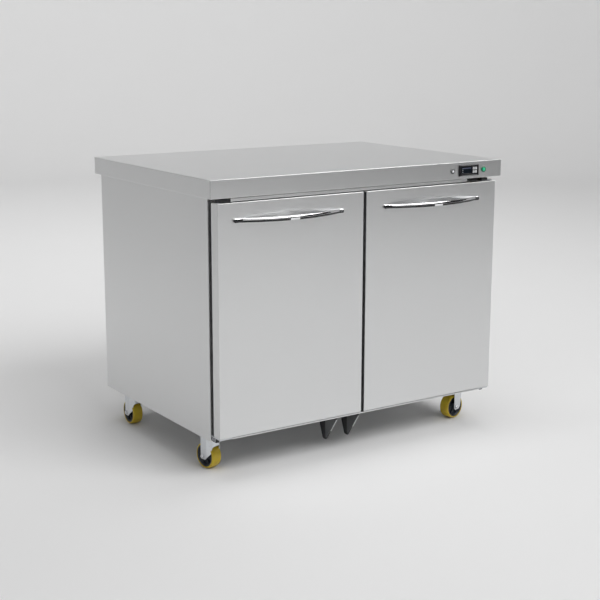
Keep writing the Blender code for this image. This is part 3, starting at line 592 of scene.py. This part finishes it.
def make_hinge_shade_block(side):
    """A black block under the bottom hinge, standing for the shade in the notch there (painted shade), with
    its two pins.
    """
    low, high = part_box(side + "_bottom_hinge")
    outer, inward = (low.x, 1) if side == "left" else (high.x, -1)
    wide, tall, pin_long, pin_radius = 0.010, 0.0115, 0.0090, 0.0012
    top = low.z - 0.0002
    x0, x1 = sorted((outer, outer + inward * wide))
    bm = bmesh.new()
    # The block's black is painted shade for the dark notch under the door's corner
    add_round_box(bm, (x0, low.y + 0.022, low.z - tall), (x1, low.y + 0.046, top), 0.0006, 2)
    piece(side + "_hinge_shade_block", bm, RUBBER, "cabinet")
    bm = bmesh.new()
    for y in (low.y + 0.027, low.y + 0.038):
        profile = [(pin_radius, low.z - pin_long), (pin_radius, top)]
        add_lathe(bm, profile, (outer, y, 0.0), (0, 0, 1), 12)
    piece(side + "_hinge_shade_block_pins", bm, ZINC, "cabinet")


def make_hinge_details(side):
    """The top bracket, the bush that the door turns on under it, and the right wing's screw."""
    low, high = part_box(side + "_top_hinge")
    axis = Vector(JOINTS[side + "_door_hinge"]["pos_m"])
    door_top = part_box(side + "_door_skin")[1].z
    bracket_under = door_top + 0.0018
    bore, outer = 0.0040, 0.0085
    if side == "right":
        make_right_bracket(low, high, axis, bracket_under)
    else:
        dress("left_top_hinge", BLACK_STEEL, 0.0006)
    bm = bmesh.new()
    foot, head = door_top + 0.0001, bracket_under - 0.0002
    profile = [(bore, foot), (outer, foot), (outer, head), (bore, head)]
    add_lathe(bm, profile, (axis.x, axis.y, 0.0), (0, 0, 1), 24, closed=True)
    if side == "right":
        middle = (bracket_under + high.z) / 2
        add_screw(bm, (axis.x - 0.049, low.y + 0.0228, middle), (0, -1, 0), 0.0030, 0.0014)
    piece(side + "_top_hinge_hardware", bm, BOLT, "cabinet")


def make_doors():
    """Both doors with their handles, seals and hinges."""
    for side in SIDES:
        dress(side + "_door_skin", SATIN, 0.0012, 3)
        dress(side + "_door_inner", MOULDING, 0.0016, 3)
        dress(side + "_bottom_hinge", ZINC, 0.0003)
        make_hinge_shade_block(side)
        make_handle(side)
        make_gasket(side)
        make_hinge_details(side)


# ---------------------------------------------------------------- controls


def make_controls():
    """Controller, its keys and display, and the two push buttons."""
    dress("controller_housing", BLACK_PLASTIC, 0.0007, 3)
    dress("controller_display", DISPLAY)
    for name in ("set_key", "up_key", "down_key", "standby_key"):
        dress(name, KEY, 0.0007, 3)

    low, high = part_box("controller_display")
    wide, tall = high.x - low.x, high.z - low.z
    front = low.y - 0.00012
    sunk = low.y + 0.0002
    bm = bmesh.new()
    # Small plain indicator marks down the left of the display
    for row in range(3):
        z = low.z + tall * (0.22 + 0.28 * row)
        x = low.x + wide * 0.09
        add_round_box(bm, (x, front, z - 0.0009), (x + 0.0030, sunk, z + 0.0009), 0.00005, 1)
    piece("display_marks", bm, MARK, "cabinet")

    # A lighter strip along the lens's upper edge, a painted reflection of its bevel, and the lighter lip
    # along the housing's foot
    bm = bmesh.new()
    x0, x1 = low.x + wide * 0.06, low.x + wide * 0.94
    add_round_box(bm, (x0, front, high.z - 0.0042), (x1, sunk, high.z - 0.0020), 0.00005, 1)
    piece("display_painted_reflection", bm, LENS_PAINTED_REFLECTION, "cabinet")
    low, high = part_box("controller_housing")
    bm = bmesh.new()
    x0, x1 = low.x + 0.012, high.x - 0.006
    add_round_box(bm, (x0, low.y - 0.0003, low.z + 0.0008), (x1, low.y + 0.001, low.z + 0.0032), 0.0001, 1)
    piece("controller_lip", bm, LIP, "cabinet")

    # Each button is a domed lens in a dark collar, inside a ring fixed to the worktop's edge
    skin_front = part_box("worktop_skin")[0].y
    dome, seat, shoulder, proud_of_ring = 0.0022, 0.0060, 0.0018, 0.0020
    for name, look, rim, slot, share in (
        ("mode_button", CAP, DARK_RIM, "white_cap", 0.66),
        ("power_button", GREEN, GREEN_RIM, "green_lens", 0.74),
    ):
        low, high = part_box(name)
        centre = ((low.x + high.x) / 2, 0.0, (low.z + high.z) / 2)
        radius = (high.x - low.x) / 2
        lens = radius * share
        profile = [(lens * 0.02, low.y)]
        steps = 7
        for k in range(1, steps + 1):
            turn = pi / 2 * k / steps
            profile.append((lens * sin(turn), low.y + dome * (1 - cos(turn))))
        profile.append((lens, low.y + seat))
        bm = bmesh.new()
        add_lathe(bm, profile, centre, (0, 1, 0), 32)
        piece(name + "_cap", bm, look, name, (name,), angle=50)
        collar = [
            (radius, high.y),
            (radius, low.y + 0.0026),
            (radius - 0.0005, low.y + shoulder),
            (lens + 0.0002, low.y + shoulder),
            (lens + 0.0002, low.y + seat),
            (lens - 0.0020, low.y + seat),
            (lens - 0.0020, high.y),
        ]
        bm = bmesh.new()
        add_lathe(bm, collar, centre, (0, 1, 0), 32, closed=True)
        piece(name + "_collar", bm, rim, name, angle=50)
        outer = radius + 0.0018
        inner = radius + CLEAR
        proud = skin_front - low.y - proud_of_ring
        ring = [
            (outer, skin_front - 0.0001),
            (outer, skin_front - proud + 0.0006),
            (outer - 0.0006, skin_front - proud),
            (inner, skin_front - proud),
            (inner, skin_front - 0.0001),
        ]
        bm = bmesh.new()
        add_lathe(bm, ring, centre, (0, 1, 0), 32, closed=True)
        piece(name + "_ring", bm, rim, "cabinet", angle=50)


# ---------------------------------------------------------------- inside


def rounded_path(corners, radius, steps=5):
    """A closed path through corners with each corner turned by an arc."""
    path = []
    count = len(corners)
    for i in range(count):
        here = Vector(corners[i])
        before = (Vector(corners[i - 1]) - here).normalized()
        after = (Vector(corners[(i + 1) % count]) - here).normalized()
        start, end = here + before * radius, here + after * radius
        for k in range(steps + 1):
            t = k / steps
            path.append(start * (1 - t) ** 2 + here * 2 * t * (1 - t) + end * t * t)
    return path


def make_shelf(side):
    """A wire shelf: a rim, three bearer wires and a row of thin wires."""
    node = side + "_shelf"
    low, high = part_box(node)
    rim, bearer, thin = 0.0028, 0.0022, 0.0015
    z = low.z + rim
    inset = rim + 0.0002
    corners = [
        (low.x + inset, low.y + inset, z),
        (high.x - inset, low.y + inset, z),
        (high.x - inset, high.y - inset, z),
        (low.x + inset, high.y - inset, z),
    ]
    bm = bmesh.new()
    add_tube(bm, rounded_path(corners, 0.014), rim, 12, closed=True)
    for share in (0.25, 0.5, 0.75):
        y = low.y + (high.y - low.y) * share
        ends = [(low.x + inset, y, low.z + bearer), (high.x - inset, y, low.z + bearer)]
        add_tube(bm, ends, bearer, 8)
    count = 17
    top = high.z - thin
    for i in range(1, count + 1):
        x = low.x + inset + (high.x - low.x - 2 * inset) * i / (count + 1)
        ends = [(x, low.y + inset, top), (x, high.y - inset, top)]
        add_tube(bm, ends, thin, 8)
    piece(node + "_wires", bm, WIRE, "cabinet", (node,), angle=60)


def make_evaporator_details():
    """Fan guard, screws and air slots on the evaporator cover."""
    low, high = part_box("evaporator_cover")
    hub = Vector(JOINTS["evaporator_fan_spin"]["pos_m"])
    guard = low.y - 0.0022
    wire, guard_radius, stud_circle = 0.0011, 0.086, 0.090
    bm = bmesh.new()
    for radius in (0.016, 0.028, 0.040, 0.052, 0.064, 0.076, 0.086):
        steps = 48
        ring = [
            (hub.x + radius * cos(2 * pi * k / steps), guard, hub.z + radius * sin(2 * pi * k / steps))
            for k in range(steps)
        ]
        add_tube(bm, ring, wire, 6, closed=True)
    for k in range(6):
        turn = 2 * pi * k / 6 + 0.3
        ends = [
            (hub.x + r * cos(turn), guard + 0.0012, hub.z + r * sin(turn)) for r in (0.012, guard_radius)
        ]
        add_tube(bm, ends, wire, 6)
    for k in range(4):
        turn = 2 * pi * k / 4 + pi / 4
        place = (hub.x + stud_circle * cos(turn), low.y, hub.z + stud_circle * sin(turn))
        add_lathe(bm, [(0.0035, 0.0), (0.0035, 0.0028)], place, (0, -1, 0), 14)
    piece("evaporator_fan_guard", bm, WIRE, "cabinet", angle=60)

    bm = bmesh.new()
    inset = 0.022
    for x in (low.x + inset, high.x - inset):
        for z in (low.z + inset, high.z - inset):
            add_screw(bm, (x, low.y, z), (0, -1, 0), 0.0035, 0.0018)
    piece("evaporator_screws", bm, BOLT, "cabinet")

    # Air slots with raised lips on both sides of the fan
    rows, lowest, pitch, slot_ends = 9, low.z + 0.038, 0.0142, (0.112, 0.188)
    bm = bmesh.new()
    for sign in (-1, 1):
        for row in range(rows):
            z = lowest + row * pitch
            x0, x1 = sorted(hub.x + sign * end for end in slot_ends)
            add_round_box(bm, (x0, low.y - 0.0016, z), (x1, low.y + 0.0004, z + 0.0030), 0.0007, 2)
    piece("evaporator_slats", bm, MOULDING, "cabinet")


def make_fan(name, joint, look):
    """Hub cap and five swept, pitched blades."""
    low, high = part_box(name)
    centre = Vector(JOINTS[joint]["pos_m"])
    radius = max(high.x - centre.x, high.z - centre.z)
    half = (high.y - low.y) / 2
    hub = radius * 0.26
    bore = 0.0056 if radius > 0.1 else 0.0041
    bm = bmesh.new()
    profile = [(bore, -half)]
    profile += [(hub * 0.92, -half), (hub, -half * 0.75), (hub, half * 0.5), (hub * 0.93, half * 0.85)]
    profile += [(hub * 0.80, half), (bore, half)]
    add_lathe(bm, profile, centre, (0, 1, 0), 40, closed=True)
    blades, steps, slices = 5, 10, 8
    for blade in range(blades):
        front, back = [], []
        for i in range(steps + 1):
            share = i / steps
            r = hub * 0.96 + (radius - hub * 0.96) * share
            sweep = radians(14) * share**1.5
            wide = radians(27 + 6 * share)
            row_front, row_back = [], []
            for k in range(slices + 1):
                t = k / slices * 2 - 1
                edge = 1 - 0.25 * max(0.0, share - 0.7) / 0.3 * t * t
                turn = 2 * pi * blade / blades + sweep - radians(7) + t * wide * edge
                y = centre.y + half * (0.62 * t + 0.10 * (1 - t * t))
                thick = 0.0007 * (1.2 - t * t)
                x, z = centre.x + r * cos(turn), centre.z + r * sin(turn)
                row_front.append(Vector((x, y - thick, z)))
                row_back.append(Vector((x, y + thick, z)))
            front.append(row_front)
            back.append(row_back)
        rings = [one + two[::-1] for one, two in zip(front, back)]
        add_rings(bm, rings)
    piece(name + "_rotor", bm, look, name, (name,), angle=40)


def make_engine():
    """Compressor, condenser and the pipes between them."""
    dress("condenser_fan_motor", BLACK_STEEL, 0.0012, 3)
    low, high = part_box("compressor")
    centre = (low + high) / 2
    radius = (high.x - low.x) / 2
    tall = high.z - low.z
    shape = [
        (0.80, 0.00),
        (0.90, 0.01),
        (0.94, 0.04),
        (0.94, 0.41),
        (1.00, 0.42),
        (1.00, 0.47),
        (0.94, 0.48),
        (0.93, 0.70),
        (0.89, 0.81),
        (0.78, 0.90),
        (0.58, 0.96),
        (0.30, 0.992),
        (0.04, 1.00),
    ]
    profile = [(radius * a, tall * b) for a, b in shape]
    bm = bmesh.new()
    add_lathe(bm, profile, (centre.x, centre.y, low.z), (0, 0, 1), 56)
    piece("compressor_shell", bm, ENAMEL, "cabinet", ("compressor",), angle=40)

    # Condenser: a pack of thin fins with the bends of its tube at both sides
    low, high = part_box("condenser_coil")
    bm = bmesh.new()
    pitch, fin, end_plate = 0.0042, 0.0005, 0.0012
    count = int((high.x - low.x - 0.024) / pitch)
    for i in range(count + 1):
        x = low.x + 0.012 + i * pitch
        add_box(bm, (x, low.y + 0.001, low.z + 0.002), (x + fin, high.y - 0.001, high.z - 0.002))
    for x in (low.x + 0.010, high.x - 0.0112):
        add_box(bm, (x, low.y, low.z), (x + end_plate, high.y, high.z))
    piece("condenser_fins", bm, FIN, "cabinet", ("condenser_coil",))
    bm = bmesh.new()
    rows, bend_out, tube = 10, 0.0085, 0.0038
    step = (high.z - low.z - 0.04) / (rows - 1)
    y = (low.y + high.y) / 2
    path = []
    for row in range(rows):
        z = low.z + 0.02 + row * step
        inner = (low.x + 0.013, high.x - 0.013)
        ends = inner if row % 2 == 0 else inner[::-1]
        path += [(ends[0], y, z), (ends[1], y, z)]
        if row < rows - 1:
            sign = 1 if row % 2 == 0 else -1
            for k in range(1, 8):
                turn = pi * k / 8
                out = sin(turn) * bend_out * sign
                path.append((ends[1] + out, y, z + step * (1 - cos(turn)) / 2))
    add_tube(bm, path, tube, 8)
    piece("condenser_tube", bm, COPPER, "cabinet", angle=60)

    # Suction and discharge pipes between the compressor and the condenser
    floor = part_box("compressor")[0].z
    start = Vector((centre.x + radius * 0.9, centre.y, floor + tall * 0.62))
    end = Vector((low.x + 0.012, y, high.z - 0.02))
    for name, drop, shift in (("discharge_pipe", 0.0, 0.0), ("liquid_pipe", -0.045, 0.03)):
        one = start + Vector((0.0, shift, drop))
        two = Vector((end.x, y, low.z + 0.02)) if drop else end
        path = []
        for k in range(25):
            t = k / 24
            smooth = t * t * (3 - 2 * t)
            lift = sin(pi * t) * (0.02 if drop else 0.05)
            path.append(
                (
                    one.x + (two.x - one.x) * t,
                    one.y + (two.y - one.y) * smooth,
                    one.z + (two.z - one.z) * smooth + lift,
                )
            )
        bm = bmesh.new()
        add_tube(bm, path, 0.0032, 10)
        piece(name, bm, COPPER, "cabinet", angle=60)


def make_inside():
    """Shelves, evaporator, fans and the engine space."""
    for side in SIDES:
        make_shelf(side)
    make_evaporator_details()
    make_fan("evaporator_fan", "evaporator_fan_spin", BLACK_PLASTIC)
    make_fan("condenser_fan", "condenser_fan_spin", BLACK_PLASTIC)
    make_engine()


# ---------------------------------------------------------------- castors


def make_castor(name):
    """Fork, bolts, tyre and hub of one castor, built round its two joints."""
    pivot = Vector(JOINTS[name + "_castor_turn"]["pos_m"])
    hub = Vector(JOINTS[name + "_castor_roll"]["pos_m"])
    behind = Vector((hub.x - pivot.x, hub.y - pivot.y, 0.0))
    trail = behind.length
    behind.normalize()
    across = Vector((behind.y, -behind.x, 0.0))

    def at(a, b, z):
        """a across the wheel, b behind the swivel axis."""
        return Vector((pivot.x, pivot.y, 0.0)) + across * a + behind * b + Vector((0, 0, z))

    wheel_r = hub.z
    swivel, wheel = name + "_castor_swivel", name + "_castor_wheel"
    plate_low, plate_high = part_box(name + "_castor_plate")
    # The plate is darkened zinc: painted shade for the shadow between the body and the fork
    dress(name + "_castor_plate", PLATE_PAINTED_SHADE, 0.0005)
    fork_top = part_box(name + "_castor_fork")[1].z

    # Fork: one pressing, a crown with a skirt that runs down into the two legs
    sheet, side = 0.0025, 0.0215
    leg_back, crease, corner, nose = trail + 0.009, trail - 0.016, -0.0185, -0.028
    corner_side, leg_half, leg_steps, gusset_steps, bends = 0.0150, 0.0050, 18, 12, 10
    leg_front, slope, nose_curve, crown_share = trail - 0.010, 1.05, 0.45, 0.965
    tuck = 0.0004  # keeps the skirt's top just under the crown's face
    tip = wheel_r - 0.009
    crown_low = fork_top - 0.003
    nose_low = wheel_r + 0.034

    def lowest(b):
        """How low the skirt reaches, at b behind the axis."""
        if b > trail + leg_half:
            return tip + (b - trail - leg_half)
        if b > leg_front:
            return tip
        diagonal = tip + (leg_front - b) * slope
        if b > corner:
            return diagonal
        rise = min(1.0, (corner - b) / (corner - nose))
        return diagonal + (nose_low - diagonal) * rise**nose_curve

    plan = [(side, leg_back - (leg_back - crease) * k / leg_steps) for k in range(leg_steps + 1)]
    for k in range(1, gusset_steps + 1):
        t = k / gusset_steps
        plan.append((side + (corner_side - side) * t, crease + (corner - crease) * t))
    start = plan[-1]
    for k in range(1, bends + 1):
        t = k / bends
        a = start[0] * cos(pi / 2 * t)
        b = start[1] + (nose - start[1]) * sin(pi / 2 * t)
        plan.append((a, b))
    plan += [(-a, b) for a, b in plan[-2::-1]]
    rings = []
    for i, (a, b) in enumerate(plan):
        before, after = plan[max(i - 1, 0)], plan[min(i + 1, len(plan) - 1)]
        run = Vector((after[0] - before[0], after[1] - before[1])).normalized()
        inward = Vector((run.y, -run.x))
        if inward.dot(Vector((-a, -b + trail))) < 0:
            inward = -inward
        low = lowest(b)
        inner = (a + inward.x * sheet, b + inward.y * sheet)
        top = fork_top - tuck
        rings.append([at(a, b, low), at(a, b, top), at(*inner, top), at(*inner, low)])
    bm = bmesh.new()
    add_rings(bm, rings)
    crown = [(a * crown_share, b if b > 0 else b * crown_share) for a, b in plan[::2]]
    add_prism(bm, crown, at, crown_low, fork_top)
    fork = piece(name + "_castor_fork_pressing", bm, ZINC, swivel, (name + "_castor_fork",), angle=30)
    soften(fork, 0.0007)

    # Axle bolt with its head, nut and washers outside the legs
    bm = bmesh.new()
    axle = 0.0039
    add_lathe(bm, [(axle, -side - 0.002), (axle, side + 0.002)], hub, across, 20)
    for sign in (-1, 1):
        add_hex(bm, hub + across * sign * (side + CLEAR), across * sign, 0.0064, 0.0039, 0.0064)
    piece(name + "_castor_bolt", bm, BOLT, swivel, (name + "_castor_axle",))

    # King pin head under the crown
    bm = bmesh.new()
    dome = [(0.0090, 0.0), (0.0088, -0.0018), (0.0070, -0.0034), (0.0040, -0.0042), (0.0004, -0.0044)]
    add_lathe(bm, dome, at(0, 0, crown_low), (0, 0, 1), 24)
    piece(name + "_castor_king_pin", bm, BOLT, swivel)

    # Screws through the plate's four corners
    bm = bmesh.new()
    inset = 0.0085
    for x in (plate_low.x + inset, plate_high.x - inset):
        for y in (plate_low.y + inset, plate_high.y - inset):
            under = plate_high.z - 0.004
            add_hex(bm, (x, y, under), (0, 0, -1), 0.0046, 0.0026, 0.0052)
    piece(name + "_castor_plate_screws", bm, BOLT, "cabinet")

    # Tyre: a crowned tread between rounded shoulders
    half, shoulder, crown, corner_steps, tread_steps = 0.016, 0.0036, 0.0008, 6, 8
    rim = wheel_r - 0.0055
    corners = []
    for k in range(corner_steps + 1):
        turn = pi / 2 * k / corner_steps
        corners.append((wheel_r - crown - shoulder * (1 - sin(turn)), half - shoulder * (1 - cos(turn))))
    profile = [(rim, -half + 0.0004)]
    profile += [(r, -along) for r, along in corners]
    for k in range(1, tread_steps):
        t = k / tread_steps * 2 - 1
        profile.append((wheel_r - crown * t * t, (half - shoulder) * t))
    profile += corners[::-1]
    profile.append((rim, half - 0.0004))
    bm = bmesh.new()
    add_lathe(bm, profile, hub, across, 72, closed=True)
    piece(name + "_castor_tread", bm, TYRE, wheel, (name + "_castor_tyre",), angle=50)

    # Hub: rim, dished web with six ribs, boss
    edge = half - 0.0008
    outer = rim - CLEAR
    boss_end = side - sheet - 0.0006
    section = [
        (0.0046, -boss_end),
        (0.0092, -boss_end),
        (0.0100, -boss_end + 0.0008),
        (0.0112, -edge + 0.0060),
        (0.0140, -edge + 0.0078),
        (0.0235, -edge + 0.0078),
        (0.0258, -edge + 0.0050),
        (0.0272, -edge + 0.0008),
        (0.0282, -edge),
        (outer, -edge),
    ]
    section += [(r, -along) for r, along in section[::-1]]
    bm = bmesh.new()
    add_lathe(bm, section, hub, across, 56, closed=True)
    ribs, rib_half, rib_in, rib_out = 6, 0.0012, 0.0100, 0.0266
    outline = [(rib_in, rib_half), (rib_out, rib_half), (rib_out, -rib_half), (rib_in, -rib_half)]
    for k in range(ribs):
        turn = 2 * pi * k / ribs
        radial = behind * cos(turn) + Vector((0, 0, 1)) * sin(turn)
        tangent = across.cross(radial)
        for sign in (-1, 1):
            near = [hub + radial * r + tangent * w + across * sign * (edge - 0.009) for r, w in outline]
            far = [hub + radial * r + tangent * w + across * sign * (edge - 0.0032) for r, w in outline]
            add_rings(bm, [near, far])
    piece(name + "_castor_wheel_hub", bm, HUB, wheel, (name + "_castor_hub",), angle=35)


# ---------------------------------------------------------------- studio


def make_floor():
    """A round paper floor that sweeps up into a wall, so that no view shows an edge."""
    steps = 16
    profile = [(0.02, 0.0), (1.5, 0.0), (3.0, 0.0), (FLOOR_RADIUS, 0.0)]
    for k in range(1, steps + 1):
        turn = pi / 2 * k / steps
        profile.append(
            (FLOOR_RADIUS + SWEEP_RADIUS * sin(turn), SWEEP_RADIUS * (1 - cos(turn)))
        )
    profile.append((FLOOR_RADIUS + SWEEP_RADIUS, WALL_HEIGHT))
    bm = bmesh.new()
    sides = 128
    rows = []
    for radius, height in profile:
        rows.append(
            [
                bm.verts.new((radius * cos(2 * pi * i / sides), radius * sin(2 * pi * i / sides), height))
                for i in range(sides)
            ]
        )
    bm.faces.new(rows[0])
    for one, two in zip(rows, rows[1:]):
        for i in range(sides):
            j = (i + 1) % sides
            bm.faces.new((one[i], one[j], two[j], two[i]))
    bmesh.ops.recalc_face_normals(bm, faces=bm.faces)
    mesh = bpy.data.meshes.new("studio_floor")
    bm.to_mesh(mesh)
    bm.free()
    mesh.shade_smooth()
    mesh.materials.append(STUDIO)
    floor = bpy.data.objects.new("studio_floor", mesh)
    bpy.context.scene.collection.objects.link(floor)


def add_light(name, place, target, size, power):
    """A softbox that points at target."""
    data = bpy.data.lights.new(name, "AREA")
    data.shape = "RECTANGLE"
    data.size, data.size_y = size
    data.energy = power
    data.spread = pi
    light = bpy.data.objects.new(name, data)
    light.location = place
    direction = Vector(target) - Vector(place)
    light.rotation_euler = direction.to_track_quat("-Z", "Y").to_euler()
    light.visible_camera = False
    bpy.context.scene.collection.objects.link(light)
    return light


def add_flag(name, place, target, size):
    """A black card that only shows in mirror-like surfaces."""
    mesh = bpy.data.meshes.new(name)
    wide, tall = size[0] / 2, size[1] / 2
    corners = [(-wide, -tall, 0), (wide, -tall, 0), (wide, tall, 0), (-wide, tall, 0)]
    mesh.from_pydata(corners, [], [(0, 1, 2, 3)])
    mesh.materials.append(RUBBER)
    flag = bpy.data.objects.new(name, mesh)
    flag.location = place
    direction = Vector(target) - Vector(place)
    flag.rotation_euler = direction.to_track_quat("-Z", "Y").to_euler()
    flag.visible_camera = False
    flag.visible_diffuse = False
    flag.visible_shadow = False
    bpy.context.scene.collection.objects.link(flag)


def make_studio():
    """Paper floor, faint even air, softboxes and the black card."""
    make_floor()
    world = bpy.data.worlds.new("studio_air")
    world.use_nodes = True
    background = world.node_tree.nodes["Background"]
    background.inputs["Color"].default_value = (1.0, 1.0, 1.0, 1.0)
    background.inputs["Strength"].default_value = 0.02
    bpy.context.scene.world = world
    for light in LIGHTS:
        add_light(*light)
    add_light(*EDGE_LIGHT).visible_diffuse = False
    for flag in FLAGS:
        add_flag(*flag)
    bpy.context.scene.view_settings.view_transform = "Standard"


def make_camera():
    """The front left view."""
    data = bpy.data.cameras.new("camera")
    data.sensor_width = SENSOR
    data.lens = CAMERA_LENS
    camera = bpy.data.objects.new("camera", data)
    turn = Matrix.Rotation(-CAMERA_YAW, 4, "Z") @ Matrix.Rotation(pi / 2 - CAMERA_PITCH, 4, "X")
    camera.matrix_world = (
        Matrix.Translation(CAMERA_PLACE) @ turn @ Matrix.Rotation(CAMERA_ROLL, 4, "Z")
    )
    bpy.context.scene.collection.objects.link(camera)
    bpy.context.scene.camera = camera


dress_cabinet()
make_bracket_webs()
make_worktop_seams()
make_rear_details()
make_doors()
make_controls()
make_inside()
for castor in CASTORS:
    make_castor(castor)
make_studio()
make_camera()
